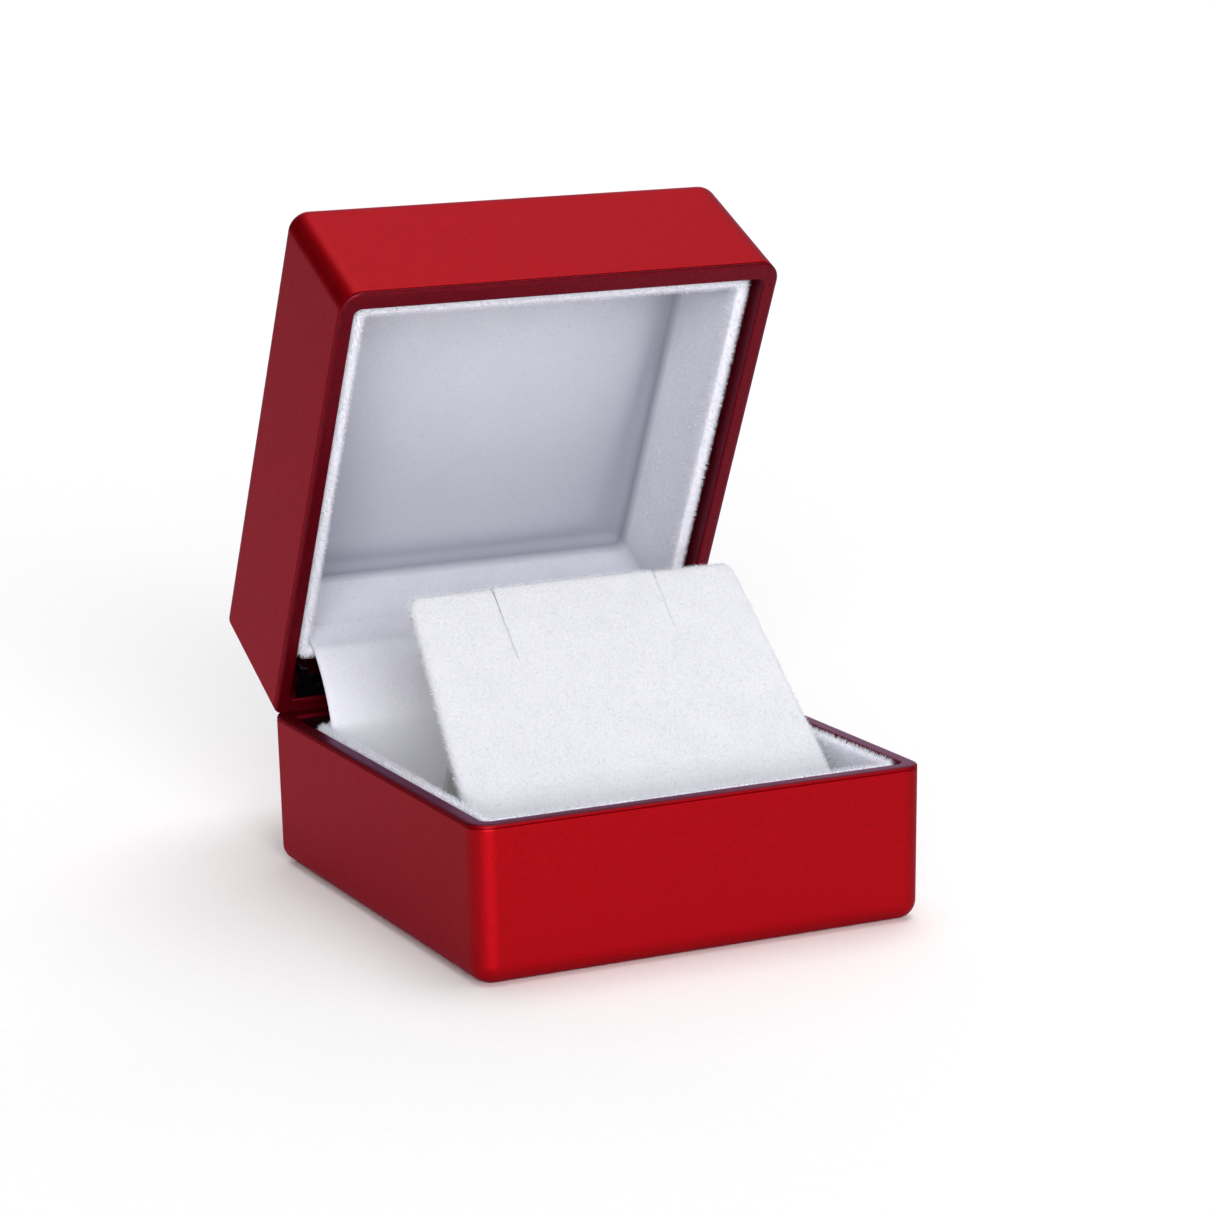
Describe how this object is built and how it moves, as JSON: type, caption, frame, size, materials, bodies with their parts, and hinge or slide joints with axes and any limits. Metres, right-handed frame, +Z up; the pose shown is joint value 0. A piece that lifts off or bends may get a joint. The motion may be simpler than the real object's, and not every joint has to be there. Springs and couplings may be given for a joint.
{
  "type": "ring box",
  "caption": "Hinged lacquered gift box with flocked liners and a tilting velvet pad, slit at the top to hold a chain.",
  "frame": {"origin": "middle of the flat face the box stands on", "axes": "+X to the right across the front, +Y from the front to the hinge, +Z up; the lid is stored open as shown"},
  "size_m": [0.07, 0.0964, 0.1001],
  "materials": {
    "red_lacquer": "pearl red lacquer over moulded plastic, satin gloss",
    "white_velvet": "short white flock pile",
    "hinge_steel": "blackened pressed steel",
    "white_card": "white-lined board",
    "pad_foam": "soft open foam"
  },
  "bodies": {
    "base": {"base_shell": "red_lacquer", "base_rim_frame": "red_lacquer", "base_liner": "white_velvet", "insert_floor_card": "white_velvet", "hinge_flap": "white_velvet", "hinge_leaf_base": "hinge_steel", "hinge_pin": "hinge_steel", "rivet_base_left": "hinge_steel", "rivet_base_right": "hinge_steel", "hinge_spring_left": "hinge_steel", "hinge_spring_right": "hinge_steel"},
    "lid": {"lid_shell": "red_lacquer", "lid_rim_frame": "red_lacquer", "lid_liner": "white_velvet", "hinge_leaf_lid": "hinge_steel", "rivet_lid_left": "hinge_steel", "rivet_lid_right": "hinge_steel"},
    "pad": {"pad_cover": "white_velvet", "pad_foam": "pad_foam", "pad_board": "white_card"},
    "strut": {"pad_strut": "white_card"}
  },
  "joints": [
    {"name": "lid_hinge", "type": "hinge", "parent": "base", "child": "lid", "pos_m": [0, 0.0376, 0.0228], "axis": [-1, 0, 0], "range_deg": [-63.3, 0], "deforming": ["hinge_flap"]},
    {"name": "pad_tilt", "type": "hinge", "parent": "base", "child": "pad", "pos_m": [0, -0.02986, 0.00549], "axis": [1, 0, 0], "range_deg": [-6, 0]},
    {"name": "strut_fold", "type": "hinge", "parent": "pad", "child": "strut", "pos_m": [0, 0.00156, 0.0363], "axis": [1, 0, 0], "range_deg": [0, 16.6]}
  ],
  "couplings": [
    {"joint": "pad_tilt", "follows": "lid_hinge", "ratio": 0.0947},
    {"joint": "strut_fold", "follows": "lid_hinge", "ratio": -0.262}
  ]
}
